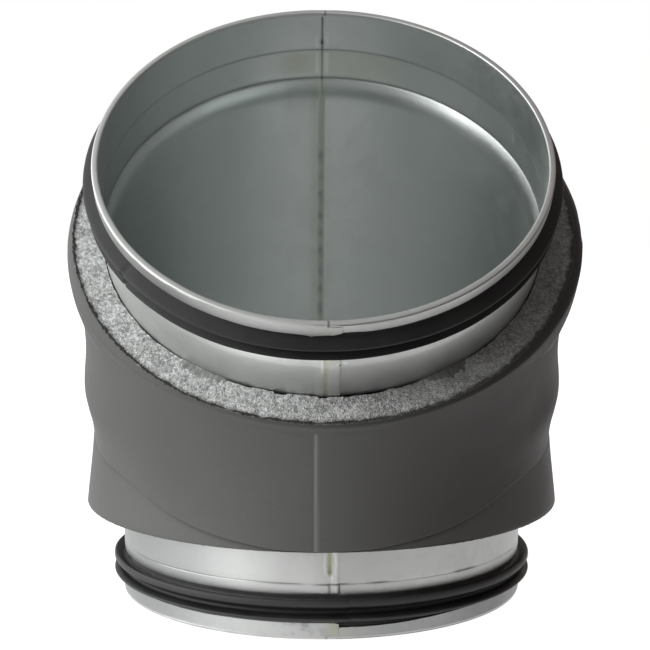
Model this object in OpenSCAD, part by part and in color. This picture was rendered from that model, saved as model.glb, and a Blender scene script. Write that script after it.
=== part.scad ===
// Insulated duct elbow: a pressed sheet bend made of two half-shells, lapped
// in the plane of the bend, with a folded rim and a double-lip seal on each
// spigot and a glued jacket of three foam gores.
// Origin: centre of the lower rim. +Z runs up the lower spigot's axis, the
// bend leans towards -Y, and the lap seams lie in the plane x = 0.

/* [Bend] */
// Angle between the two spigot axes
bend_angle = 45; // [40:1:50]
// Radius of the bend's centre line
bend_r = 160; // [150:5:200]
// Length of each straight spigot, from its rim to the start of the bend
leg = 33.6; // [30:0.2:45]

/* [Sheet] */
// Outer diameter of the bend and of the plain collars
tube_d = 159.2; // [158:0.2:162]
// Thickness of the sheet
sheet = 0.6; // [0.5:0.05:0.8]
// How much the seal seat is drawn in, on the radius
seat_draw = 1.5; // [1.2:0.1:1.8]
// End of the drawn-in seat, from the rim
seat_end = 16; // [15.9:0.1:17]
// End of the cone between the seat and the collar, from the rim
cone_end = 19.7; // [19:0.1:22]
// Height of the folded rim
hem_h = 5.4; // [4.5:0.1:5.4]
// Gap inside the folded rim that grips the seal
hem_gap = 1.1; // [1.1:0.1:1.3]

/* [Lap seam] */
// Width of the lap over the other half
lap_w = 5.2; // [4:0.1:7]
// Slot left between the joggle and the other half's edge
lap_slot = 0.6; // [0.3:0.1:1]

/* [Seal] */
// Outer diameter over the seal's lips
seal_d = 167.2; // [166:0.2:168]

/* [Foam jacket] */
// Outer diameter of the foam
foam_d = 188; // [184:1:190]
// Glue line between the sheet and the foam
glue = 0.1; // [0.1:0.05:0.3]
// Distance of the foam's cut ends from the rim, at the sheet
foam_end_in = 37; // [36:0.5:40]
// Distance of the foam's cut ends from the rim, at the skin
foam_end_out = 34; // [33:0.5:36]
// Height of the lower joint on the elbow's sides
joint_low_h = 66; // [64:1:68]
// Tilt of the lower joint
joint_low_tilt = 12.4; // [11:0.1:14]
// Height of the lower joint at the throat, where it drops to the foam's end
joint_low_front_h = 36.3; // [36.3:0.1:38]
// Tilt of the lower joint's steep part at the throat
joint_low_front_tilt = 34.2; // [33:0.1:34.2]
// Distance of the upper joint from the upper rim on the elbow's sides
joint_up_h = 64; // [62:1:68]
// Tilt of the upper joint
joint_up_tilt = 15.2; // [14:0.1:16]

/* [Hidden] */
$fn = 96;

tube_r = tube_d / 2;                    // outside of the bend
bore_r = tube_r - sheet;                // inside of the bend
seat_r = bore_r - seat_draw;            // inside of the drawn-in end
hem_r = seat_r + sheet * 2 + hem_gap;   // outside of the folded rim
seal_r = seal_d / 2;
foam_r = foam_d / 2;
rim_round = 0.9;                        // rounding of the fold
lap_from = seat_end + 0.2;              // the lap starts behind the seal

// Places what is drawn for the lower spigot on the upper one
module at_upper_end() {
    translate([0, -bend_r, leg]) rotate([bend_angle, 0, 0])
        translate([0, bend_r, leg]) mirror([0, 0, 1]) children();
}

// Makes a whole elbow of what is drawn for the lower spigot and a little more
// than half of the bend, and keeps what lies between two planes along the seams
module both_ends(x0, x1) {
    translate([0, -bend_r, leg]) rotate([bend_angle / 2, 0, 0])
        for (m = [0, 1]) mirror([0, 0, m]) intersection() {
            rotate([-bend_angle / 2, 0, 0]) translate([0, bend_r, -leg]) children();
            translate([x0, 0, -300]) cube([x1 - x0, 400, 300]);
        }
}

// Sweeps a section, drawn with the heel at the right, along the bend
module along_bend(angle = bend_angle) {
    translate([0, -bend_r, leg]) rotate([90, 0, 90])
        rotate_extrude(angle = angle, $fn = 360) translate([bend_r, 0]) children();
}

// Section of a pipe
module ring(r0, r1) {
    difference() {
        rotate(90) circle(r1, $fn = 180);
        rotate(90) circle(r0, $fn = 180);
    }
}

// Inner surface of the sheet at a distance from the rim
function wall_r(s) = s <= seat_end ? seat_r : s >= cone_end ? bore_r
    : seat_r + seat_draw * (s - seat_end) / (cone_end - seat_end);

// Band of the profile between two offsets from the sheet's inner surface
module band(off0, off1, s0) {
    polygon(concat(
        [[wall_r(s0) + off0, s0]],
        s0 < seat_end ? [[seat_r + off0, seat_end]] : [],
        [[bore_r + off0, cone_end], [bore_r + off0, leg], [bore_r + off1, leg], [bore_r + off1, cone_end]],
        s0 < seat_end ? [[seat_r + off1, seat_end]] : [],
        [[wall_r(s0) + off1, s0]]));
}

// Profile of a spigot: the folded rim, with the sheet's end turned back over
// the root of the seal, then the drawn-in seat, the cone and the collar
module spigot_profile() {
    difference() {
        union() {
            translate([seat_r, rim_round]) square([hem_r - seat_r, hem_h - rim_round]);
            translate([seat_r + rim_round, 0]) square([hem_r - seat_r - 2 * rim_round, hem_h]);
            translate([seat_r + rim_round, rim_round]) circle(rim_round);
            translate([hem_r - rim_round, rim_round]) circle(rim_round);
            band(0, sheet, 1);
        }
        translate([seat_r + sheet, sheet + hem_gap / 2]) square([hem_gap, hem_h]);
        translate([seat_r + sheet + hem_gap / 2, sheet + hem_gap / 2]) circle(hem_gap / 2);
    }
}

// The sheet's wall, from the lower rim to a little past the middle of the bend
module wall() {
    rotate_extrude($fn = 180) spigot_profile();
    along_bend(bend_angle / 2 + 1) ring(bore_r, tube_r);
}

// The layer over the wall that the laps are cut from. It starts behind the seal.
module over_wall() {
    rotate_extrude($fn = 180) band(sheet, sheet * 2, lap_from);
    along_bend(bend_angle / 2 + 1) ring(tube_r, tube_r + sheet);
}

// Right half: its two edges lie under the other half's laps
module duct_half_right() {
    color([0.72, 0.73, 0.74]) both_ends(0, 100) wall();
}

// Left half: its wall stops short of the other half's edges, and both its
// edges are joggled outwards and lap over the right half
module duct_half_left() {
    color([0.75, 0.76, 0.77]) {
        both_ends(-100, -lap_slot) wall();
        both_ends(-lap_slot - sheet, lap_w) over_wall();
    }
}

// Double-lip seal: its root sits under the folded rim, and both lips lean
// back from the rim
module seal_profile() {
    b = seat_r + sheet;
    polygon([
        [b, 2], [b + hem_gap - 0.1, 2], [b + hem_gap - 0.1, 5.5],
        [b + 1.4, 5.8], [seal_r - 0.4, 7.8], [seal_r, 8.5], [seal_r - 0.1, 9.3], [seal_r - 0.6, 9.6],
        [b + 2.5, 8.9], [b + 1.9, 9.7], [b + 1.9, 10.5],
        [seal_r - 0.6, 12.4], [seal_r, 13.2], [seal_r - 0.1, 14.5], [seal_r - 0.9, 15.2],
        [b + 2.5, 13.9], [b + 1.5, 14.7], [b + 0.8, 15.6], [b, 15.6]
    ]);
}

module seal_lower() {
    color([0.13, 0.13, 0.13]) rotate_extrude($fn = 180) seal_profile();
}

module seal_upper() {
    color([0.13, 0.13, 0.13]) at_upper_end() rotate_extrude($fn = 180) seal_profile();
}

// What is cut off each end of the jacket: everything nearer to the rim than
// the slightly coned cut face
module foam_end_cut() {
    k = (foam_end_in - foam_end_out) / (foam_r - tube_r);
    rotate_extrude($fn = 180) polygon([
        [tube_r - 20, 0], [foam_r + 20, 0],
        [foam_r + 20, foam_end_out - 20 * k],
        [tube_r - 20, foam_end_in + 20 * k]
    ]);
}

// The jacket before it is parted into gores, with room for the lap seams
module jacket() {
    difference() {
        along_bend() difference() {
            ring(tube_r + glue, foam_r);
            intersection() {
                ring(tube_r - 1, tube_r + sheet + glue);
                translate([-100, -lap_slot - sheet - 0.3]) square([200, lap_slot + sheet + lap_w + 0.6]);
            }
        }
        foam_end_cut();
        at_upper_end() foam_end_cut();
    }
}

// What lies on the rim's side of each joint. The lower joint has two planes:
// a flat one round the heel and the sides, and a steep one at the throat.
module below_low_joint() {
    intersection() {
        translate([0, 0, joint_low_h]) rotate([joint_low_tilt, 0, 0])
            translate([-150, -150, -200]) cube([300, 300, 200]);
        translate([0, -91.5, joint_low_front_h]) rotate([joint_low_front_tilt, 0, 0])
            translate([-150, -150, -300]) cube([300, 450, 300]);
    }
}

module above_up_joint() {
    at_upper_end() translate([0, 0, joint_up_h]) rotate([joint_up_tilt, 0, 0])
        translate([-150, -150, -200]) cube([300, 300, 200]);
}

module foam_gore_lower() {
    color([0.33, 0.33, 0.32]) intersection() {
        jacket();
        below_low_joint();
    }
}

module foam_gore_middle() {
    color([0.36, 0.36, 0.35]) difference() {
        jacket();
        below_low_joint();
        above_up_joint();
    }
}

module foam_gore_upper() {
    color([0.33, 0.33, 0.32]) intersection() {
        jacket();
        above_up_joint();
    }
}

duct_half_left();
duct_half_right();
seal_lower();
seal_upper();
foam_gore_lower();
foam_gore_middle();
foam_gore_upper();
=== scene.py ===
# Insulated duct elbow: sheet halves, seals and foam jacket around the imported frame.
import math

import bpy
import numpy as np
from mathutils import Matrix, Vector


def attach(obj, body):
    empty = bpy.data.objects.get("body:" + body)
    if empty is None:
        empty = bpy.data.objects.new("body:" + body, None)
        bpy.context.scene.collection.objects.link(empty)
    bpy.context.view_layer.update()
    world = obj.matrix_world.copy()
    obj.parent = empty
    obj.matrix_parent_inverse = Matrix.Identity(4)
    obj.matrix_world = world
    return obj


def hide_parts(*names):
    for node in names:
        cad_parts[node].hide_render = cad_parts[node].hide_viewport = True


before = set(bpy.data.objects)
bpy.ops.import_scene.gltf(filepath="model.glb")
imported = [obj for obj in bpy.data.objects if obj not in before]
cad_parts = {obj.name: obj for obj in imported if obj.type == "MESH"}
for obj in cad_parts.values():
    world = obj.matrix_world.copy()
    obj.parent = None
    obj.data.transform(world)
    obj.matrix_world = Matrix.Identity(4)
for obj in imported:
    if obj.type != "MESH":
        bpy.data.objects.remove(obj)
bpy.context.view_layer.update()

# ------------------------------------------------------------------ the duct's own frame, in mm
LEG, BEND_R, ANGLE = 33.6, 160.0, math.pi / 4
U_BEND = LEG + BEND_R * ANGLE
U_MAX = U_BEND + LEG
TUBE_R, BORE_R, SEAT_R, HEM_R = 79.6, 79.0, 77.5, 79.8
S45, C45 = math.sin(ANGLE), math.cos(ANGLE)


def spine(u):
    """Centre line and heel direction at a length u from the lower rim."""
    u = np.asarray(u, float)
    th = np.clip((u - LEG) / BEND_R, 0, ANGLE)
    over = np.maximum(u - U_BEND, 0)
    c = np.stack([0 * u, -BEND_R + BEND_R * np.cos(th) - S45 * over, np.minimum(u, LEG) + BEND_R * np.sin(th) + C45 * over], -1)
    e = np.stack([0 * u, np.cos(th), np.sin(th)], -1)
    return c, e


def place(u, r, a):
    """Points of the elbow: u along it, r from its centre line, a round it (0 right, 90 heel, -90 throat)."""
    u, r, a = np.broadcast_arrays(np.asarray(u, float), r, a)
    c, e = spine(u)
    a = np.radians(a)
    out = c + (r * np.sin(a))[..., None] * e
    out[..., 0] += r * np.cos(a)
    return out


def smooth(x, x0, x1):
    t = np.clip((np.asarray(x, float) - x0) / (x1 - x0), 0, 1)
    return t * t * (3 - 2 * t)


def table(x, pairs):
    """Smooth curve through a few design points."""
    xs, ys = np.array(pairs, float).T
    x = np.clip(np.asarray(x, float), xs[0], xs[-1])
    m = np.zeros_like(ys)
    d = np.diff(ys) / np.diff(xs)
    m[0], m[-1] = d[0], d[-1]
    for i in range(1, len(xs) - 1):
        m[i] = 0 if d[i - 1] * d[i] <= 0 else 2 * d[i - 1] * d[i] / (d[i - 1] + d[i])
    k = np.clip(np.searchsorted(xs, x, side="right") - 1, 0, len(xs) - 2)
    h = xs[k + 1] - xs[k]
    t = (x - xs[k]) / h
    return (
        (2 * t**3 - 3 * t**2 + 1) * ys[k]
        + (t**3 - 2 * t**2 + t) * h * m[k]
        + (-2 * t**3 + 3 * t**2) * ys[k + 1]
        + (t**3 - t**2) * h * m[k + 1]
    )


def hashed(ix, iy, iz, seed):
    h = (
        ix.astype(np.uint32) * np.uint32(73856093)
        ^ iy.astype(np.uint32) * np.uint32(19349663)
        ^ iz.astype(np.uint32) * np.uint32(83492791)
        ^ np.uint32(seed * 2654435761 % 4294967296)
    )
    h ^= h >> np.uint32(15)
    h *= np.uint32(2246822519)
    h ^= h >> np.uint32(13)
    h *= np.uint32(3266489917)
    h ^= h >> np.uint32(16)
    return h.astype(float) / 4294967295.0


def noise(p, size, seed=1):
    """Smooth random values in -1..1 with lumps of the given size in mm."""
    q = p / size + 1000.0
    i = np.floor(q).astype(np.int64)
    f = q - i
    f = f * f * (3 - 2 * f)
    out = 0
    for dx in (0, 1):
        for dy in (0, 1):
            for dz in (0, 1):
                w = (f[..., 0] if dx else 1 - f[..., 0]) * (f[..., 1] if dy else 1 - f[..., 1]) * (f[..., 2] if dz else 1 - f[..., 2])
                out = out + w * hashed(i[..., 0] + dx, i[..., 1] + dy, i[..., 2] + dz, seed)
    return out * 2 - 1


def grains(p, size, seed=1):
    """Distance to the nearest and second nearest grain centre, in grain sizes, and the grain's own value."""
    q = p / size + 1000.0
    i = np.floor(q).astype(np.int64)
    best = np.full(p.shape[:-1], 9.0)
    second = best.copy()
    own = np.zeros(p.shape[:-1])
    for dx in (-1, 0, 1):
        for dy in (-1, 0, 1):
            for dz in (-1, 0, 1):
                c = i + np.array([dx, dy, dz])
                o = np.stack([hashed(c[..., 0], c[..., 1], c[..., 2], seed + k) for k in (0, 1, 2)], -1)
                d = np.sqrt(((c + o - q) ** 2).sum(-1))
                near = d < best
                second = np.where(near, best, np.minimum(second, d))
                own = np.where(near, o[..., 0], own)
                best = np.where(near, d, best)
    return best, second, own


# ------------------------------------------------------------------ meshes
def grid_piece(name, points, wrap_i, wrap_j, fields=None, angle=38.0, flip=False):
    """A mesh of quads over points[i, j]. fields are named values per point, for the materials."""
    ni, nj = points.shape[:2]
    index = np.arange(ni * nj).reshape(ni, nj)
    i0 = np.arange(ni if wrap_i else ni - 1)
    j0 = np.arange(nj if wrap_j else nj - 1)
    a = index[i0][:, j0]
    b = index[(i0 + 1) % ni][:, j0]
    c = index[(i0 + 1) % ni][:, (j0 + 1) % nj]
    d = index[i0][:, (j0 + 1) % nj]
    quads = np.stack([a, b, c, d], -1).reshape(-1, 4)
    return mesh_piece(name, points.reshape(-1, 3), quads[:, ::-1] if flip else quads, {k: v.reshape(-1) for k, v in (fields or {}).items()}, angle)


def mesh_piece(name, points, quads, fields=None, angle=38.0):
    mesh = bpy.data.meshes.new(name)
    mesh.vertices.add(len(points))
    mesh.vertices.foreach_set("co", (points * 0.001).astype(np.float32).ravel())
    mesh.loops.add(quads.size)
    mesh.loops.foreach_set("vertex_index", quads.astype(np.int32).ravel())
    mesh.polygons.add(len(quads))
    mesh.polygons.foreach_set("loop_start", np.arange(0, quads.size, 4, dtype=np.int32))
    mesh.polygons.foreach_set("loop_total", np.full(len(quads), 4, np.int32))
    mesh.update(calc_edges=True)
    mesh.validate()
    for k, v in (fields or {}).items():
        mesh.attributes.new(k, "FLOAT", "POINT").data.foreach_set("value", v.astype(np.float32))
    mesh.polygons.foreach_set("use_smooth", np.ones(len(mesh.polygons), bool))
    mesh.set_sharp_from_angle(angle=math.radians(angle))
    obj = bpy.data.objects.new(name, mesh)
    bpy.context.scene.collection.objects.link(obj)
    return obj


# ------------------------------------------------------------------ materials
class Nodes:
    def __init__(self, name):
        self.mat = bpy.data.materials.new(name)
        self.mat.use_nodes = True
        self.tree = self.mat.node_tree
        self.shader = self.tree.nodes["Principled BSDF"]
        self.at = -200

    def node(self, kind, **values):
        n = self.tree.nodes.new(kind)
        n.location = (self.at, 0)
        self.at -= 40
        for k, v in values.items():
            if hasattr(n, k):
                setattr(n, k, v)
            else:
                n.inputs[k.replace("_", " ")].default_value = v
        return n

    def link(self, a, b):
        self.tree.links.new(a, b)

    def field(self, name):
        return self.node("ShaderNodeAttribute", attribute_type="GEOMETRY", attribute_name=name).outputs["Fac"]

    def place(self, scale=(1, 1, 1)):
        t = self.node("ShaderNodeTexCoord").outputs["Object"]
        if scale == (1, 1, 1):
            return t
        m = self.node("ShaderNodeMapping")
        m.inputs["Scale"].default_value = scale
        self.link(t, m.inputs["Vector"])
        return m.outputs["Vector"]

    def noise(self, scale, detail=3.0, rough=0.5, vector=None, distortion=0.0):
        n = self.node("ShaderNodeTexNoise")
        n.inputs["Scale"].default_value = scale
        n.inputs["Detail"].default_value = detail
        n.inputs["Roughness"].default_value = rough
        n.inputs["Distortion"].default_value = distortion
        self.link(vector or self.place(), n.inputs["Vector"])
        return n.outputs["Fac"]

    def cells(self, scale, feature="F1", vector=None, output="Distance"):
        n = self.node("ShaderNodeTexVoronoi", feature=feature)
        n.inputs["Scale"].default_value = scale
        self.link(vector or self.place(), n.inputs["Vector"])
        return n.outputs[output]

    def ramp(self, source, x0, x1, y0, y1, soft=True):
        n = self.node("ShaderNodeMapRange", interpolation_type="SMOOTHSTEP" if soft else "LINEAR")
        for k, v in zip(("From Min", "From Max", "To Min", "To Max"), (x0, x1, y0, y1)):
            n.inputs[k].default_value = v
        self.link(source, n.inputs["Value"])
        return n.outputs["Result"]

    def math(self, op, a, b=None, c=None):
        n = self.node("ShaderNodeMath", operation=op)
        for k, v in enumerate((a, b, c)):
            if v is None:
                continue
            if isinstance(v, (int, float)):
                n.inputs[k].default_value = v
            else:
                self.link(v, n.inputs[k])
        return n.outputs[0]

    def mix(self, fac, a, b, blend="MIX"):
        n = self.node("ShaderNodeMix", data_type="RGBA", blend_type=blend)
        for socket, v in ((n.inputs[0], fac), (n.inputs[6], a), (n.inputs[7], b)):
            if isinstance(v, (int, float)):
                socket.default_value = v
            elif isinstance(v, tuple):
                socket.default_value = (*v, 1.0)
            else:
                self.link(v, socket)
        return n.outputs[2]

    def bump(self, height, distance, strength=1.0, normal=None):
        n = self.node("ShaderNodeBump")
        n.inputs["Strength"].default_value = strength
        n.inputs["Distance"].default_value = distance
        self.link(height, n.inputs["Height"])
        if normal is not None:
            self.link(normal, n.inputs["Normal"])
        return n.outputs["Normal"]

    def put(self, **sockets):
        for k, v in sockets.items():
            s = self.shader.inputs[k.replace("_", " ")]
            if isinstance(v, (int, float)):
                s.default_value = v
            elif isinstance(v, tuple):
                s.default_value = (*v, 1.0) if len(v) == 3 else v
            else:
                self.link(v, s)
        return self.mat


def steel_material():
    n = Nodes("galvanised_sheet_finish")
    # zinc spangle, very faint, and long soft clouds from the rolling mill
    spangle = n.cells(160, vector=n.place(), output="Color")
    value = n.node("ShaderNodeSeparateColor")
    n.link(spangle, value.inputs[0])
    spangle = value.outputs[0]
    cloud = n.noise(22, 4, 0.55)
    fine = n.noise(420, 3, 0.6)
    streak = n.noise(1, 3, 0.6, n.place((55, 900, 900)))
    base = n.mix(n.ramp(cloud, 0.3, 0.7, 0, 1), (0.495, 0.533, 0.520), (0.522, 0.557, 0.545))
    base = n.mix(n.ramp(spangle, 0.2, 1.0, 0, 0.07), base, (0.42, 0.45, 0.45))
    base = n.mix(n.ramp(fine, 0.58, 0.75, 0, 0.08), base, (0.40, 0.42, 0.41))
    base = n.mix(n.math("MINIMUM", n.math("MULTIPLY", n.field("matt"), 0.85), 0.85), base, (0.462, 0.462, 0.456))
    # tints and marks along the seams; the dark mix also carries painted shade in creases and the pale mix painted light
    # in places
    base = n.mix(n.math("MULTIPLY", n.field("weld"), 0.85), base, (0.42, 0.42, 0.27))
    base = n.mix(n.math("MULTIPLY", n.field("pale"), 0.75), base, (0.80, 0.82, 0.80))
    base = n.mix(n.math("MULTIPLY", n.field("burn_and_painted_crease_shade"), 0.92), base, (0.045, 0.045, 0.04))
    smudge = n.math("MULTIPLY", n.field("smudge"), n.ramp(n.noise(240, 4, 0.6, distortion=0.3), 0.46, 0.66, 0, 1))
    base = n.mix(n.math("MULTIPLY", smudge, 0.5), base, (0.24, 0.23, 0.26))
    # painted shade: darker zinc where the part shows less reflected light
    base = n.mix(n.field("painted_shade_tone"), base, (0.19, 0.20, 0.197))
    rough = n.ramp(cloud, 0.25, 0.75, 0.34, 0.42)
    rough = n.math("ADD", rough, n.ramp(spangle, 0, 1, -0.012, 0.018))
    rough = n.math("ADD", rough, n.ramp(fine, 0.45, 0.75, 0, 0.06))
    rough = n.math("ADD", rough, n.math("MULTIPLY", n.field("burn_and_painted_crease_shade"), 0.3))
    rough = n.math("ADD", rough, n.math("MULTIPLY", n.field("weld"), 0.12))
    rough = n.math("ADD", rough, n.math("MULTIPLY", smudge, 0.2))
    rough = n.math("ADD", rough, n.math("MULTIPLY", n.field("matt"), 0.075))
    height = n.math("ADD", n.math("MULTIPLY", streak, 0.35), n.math("MULTIPLY", fine, 0.45))
    height = n.math("ADD", height, n.math("MULTIPLY", spangle, 0.10))
    normal = n.bump(height, 0.00004, 0.3)
    return n.put(Base_Color=base, Metallic=1.0, Roughness=rough, Normal=normal)


def rubber_material():
    n = Nodes("seal_rubber_finish")
    soft = n.noise(90, 4, 0.6)
    fine = n.noise(1500, 3, 0.6)
    dust = n.ramp(n.noise(320, 5, 0.7), 0.52, 0.75, 0, 1)
    base = n.mix(n.ramp(soft, 0.3, 0.7, 0, 1), (0.010, 0.010, 0.010), (0.015, 0.0155, 0.015))
    base = n.mix(n.math("MULTIPLY", dust, 0.12), base, (0.035, 0.035, 0.034))
    # painted highlight on the thin edges of the lips
    base = n.mix(n.math("MULTIPLY", n.field("edge"), 0.35), base, (0.05, 0.05, 0.05))
    rough = n.math("ADD", n.ramp(soft, 0.3, 0.7, 0.48, 0.58), n.ramp(dust, 0, 1, 0, 0.12))
    height = n.math("ADD", n.math("MULTIPLY", fine, 0.5), n.math("MULTIPLY", soft, 0.5))
    normal = n.bump(height, 0.00008, 0.5)
    return n.put(Base_Color=base, Roughness=rough, Normal=normal, Specular_IOR_Level=0.22)


def foam_material():
    n = Nodes("foam_finish")
    cut = n.field("cut")
    glue = n.field("glue")
    # moulded skin: matt, faintly mottled, with fine pores
    mottle = n.noise(30, 5, 0.6)
    pores = n.cells(1100)
    fine = n.noise(900, 4, 0.65)
    skin = n.mix(n.ramp(mottle, 0.3, 0.7, 0, 1), (0.072, 0.0725, 0.070), (0.080, 0.0805, 0.078))
    skin = n.mix(n.ramp(fine, 0.35, 0.75, 0, 0.25), skin, (0.10, 0.10, 0.097))
    skin = n.mix(n.ramp(pores, 0.0, 0.22, 0.25, 0), skin, (0.04, 0.04, 0.039))
    # painted shade: the skin darker and redder towards the right side, away from the light
    skin = n.mix(n.math("MULTIPLY", n.field("painted_shade_right"), 0.8), skin, (0.031, 0.0270, 0.0260))
    # painted shade beside the upper cut edge and painted shadow under the middle gore's lower edge
    skin = n.mix(n.math("MULTIPLY", n.field("rim"), 0.85), skin, (0.030, 0.030, 0.029))
    skin = n.mix(n.math("MULTIPLY", glue, 0.9), skin, (0.175, 0.175, 0.17))
    # cut face: open cells, light walls and dark pits
    cell_wall = n.cells(950, "DISTANCE_TO_EDGE")
    fleck = n.noise(820, 3, 0.7)
    grain = n.field("grain")
    face = n.mix(n.ramp(grain, 0.0, 1.0, 0, 1), (0.20, 0.202, 0.198), (0.63, 0.64, 0.635))
    face = n.mix(n.ramp(cell_wall, 0.0, 0.12, 0.4, 0), face, (0.66, 0.67, 0.665))
    face = n.mix(n.ramp(fleck, 0.57, 0.68, 0, 0.75), face, (0.80, 0.81, 0.80))
    face = n.mix(n.ramp(fleck, 0.30, 0.40, 0.55, 0), face, (0.09, 0.09, 0.088))
    face = n.mix(n.ramp(grain, -1.0, 0.0, 1, 0), face, (0.035, 0.034, 0.033))
    # painted shade on the right side of the cut face
    face = n.mix(n.math("MULTIPLY", n.field("painted_shade_right"), 0.55), face, (0.075, 0.072, 0.070))
    base = n.mix(cut, skin, face)
    rough = n.math("ADD", n.ramp(mottle, 0.3, 0.7, 0.50, 0.60), n.math("MULTIPLY", cut, 0.3))
    height = n.math("MULTIPLY", n.math("ADD", n.math("MULTIPLY", fine, 0.6), n.math("MULTIPLY", pores, 0.5)), 0.5)
    normal = n.bump(height, 0.00010, 0.6)
    rough_face = n.math("MULTIPLY", n.math("ADD", n.math("MULTIPLY", fleck, 1.2), n.math("MULTIPLY", cell_wall, 1.5)), cut)
    normal = n.bump(rough_face, 0.0004, 0.8, normal)
    return n.put(Base_Color=base, Roughness=rough, Normal=normal, Specular_IOR_Level=0.17)


STEEL, RUBBER, FOAM = steel_material(), rubber_material(), foam_material()


# ------------------------------------------------------------------ sheet halves
def sheet_path(hem_h):
    """The folded sheet from the free edge of the lower hem to that of the upper one.
    Rows of (u, r of the air side, r of the outer side, part), where part is 0 hem, 1 nose, 2 seat, 3 wall."""
    rows = []
    for s in (hem_h, hem_h - 0.1, hem_h - 0.35, hem_h - 0.8, 3.6, 2.9, 2.3, 1.9, 1.6, 1.35, 1.15):
        rows.append((s, HEM_R, HEM_R - 0.6, 0))
    mid_r = (HEM_R + SEAT_R) / 2
    half = (HEM_R - SEAT_R) / 2
    for k, t in enumerate(np.linspace(0, 180, 19)):
        # nearly flat nose with rounded corners
        x = math.cos(math.radians(t))
        z = math.sin(math.radians(t))
        x = math.copysign(abs(x) ** 0.5, x)
        z = abs(z) ** 0.5
        rows.append((1.0 - z * 0.95, mid_r + x * half, mid_r + x * (half - 0.6) if abs(x) > 0.02 else mid_r, 1))
    for s in (1.5, 2.4, 4.5, 8, 12, 13.6, 14.0, 14.4, 14.8, 15.1, 15.3):
        rows.append((s, SEAT_R, SEAT_R + 0.6, 2))
    for s in (15.4, 15.6, 15.9, 16.2, 16.5, 17.0, 17.3, 17.5, 17.7, 18.0, 18.3, 18.5, 18.7, 19.1, 19.45, 19.6, 19.7, 19.8, 19.9, 20.0, 20.15, 20.5, 21, 22.2, 24, 27, 29.5, 31.5, 32.6, 33.0, 33.15, 33.3, 33.45, 33.6):
        rows.append((s, inner_r(s), 0, 3))
    for s in LEG + np.array([0.35, 0.8, 1.3, 1.8, 2.4, 3.0, 3.7, 4.4, 5.1, 5.9]):
        rows.append((s, inner_r(s), 0, 3))
    lower = np.array(rows)
    upper = lower.copy()
    for end, start, k, foot, drop in ((lower, 19.8, 0.020, 13.7, 2.3), (upper, 22.0, 0.030, 15.35, 1.0)):
        wall = (end[:, 3] >= 2) & (end[:, 0] > foot)
        end[wall, 2] = [outer_r(s, start, k, foot, drop) for s in end[wall, 0]]
    upper = upper[::-1]
    upper[:, 0] = U_MAX - upper[:, 0]
    mid = np.linspace(LEG + 8.0, U_BEND - 8.0, 60)
    mid = np.stack([mid, np.full_like(mid, BORE_R - STEP), np.full_like(mid, TUBE_R - STEP), np.full_like(mid, 3)], -1)
    return np.concatenate([lower, mid, upper])


STEP = 2.564  # the pressed bend is a little narrower than the collars


def inner_r(s):
    """Inside of the sheet: the seat's step, the collar, and a rounded shoulder down to the bend."""
    r = SEAT_R + 1.5 * float(smooth(s, 17.35, 18.65)) + 0.4 * float(smooth(s, 31.3, 33.0))
    steep = min(max(s - 33.1, 0), 1.4)
    eased = min(max(s - 34.5, 0), 5.0)
    return r - 0.76 * (steep + eased * (1 - eased / 10.0))


def outer_r(s, start, k, foot, drop):
    """Outside of the sheet: the collar curves in gently and drops to the seat behind the seal."""
    r = TUBE_R - k * max(start - s, 0) ** 2
    seat = SEAT_R + 0.6
    r = seat + (r - seat) * float(smooth(s, foot, foot + drop))
    return r - STEP * (1 - (1 - min(max((s - 38.5) / 5.5, 0), 1)) ** 2)


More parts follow.
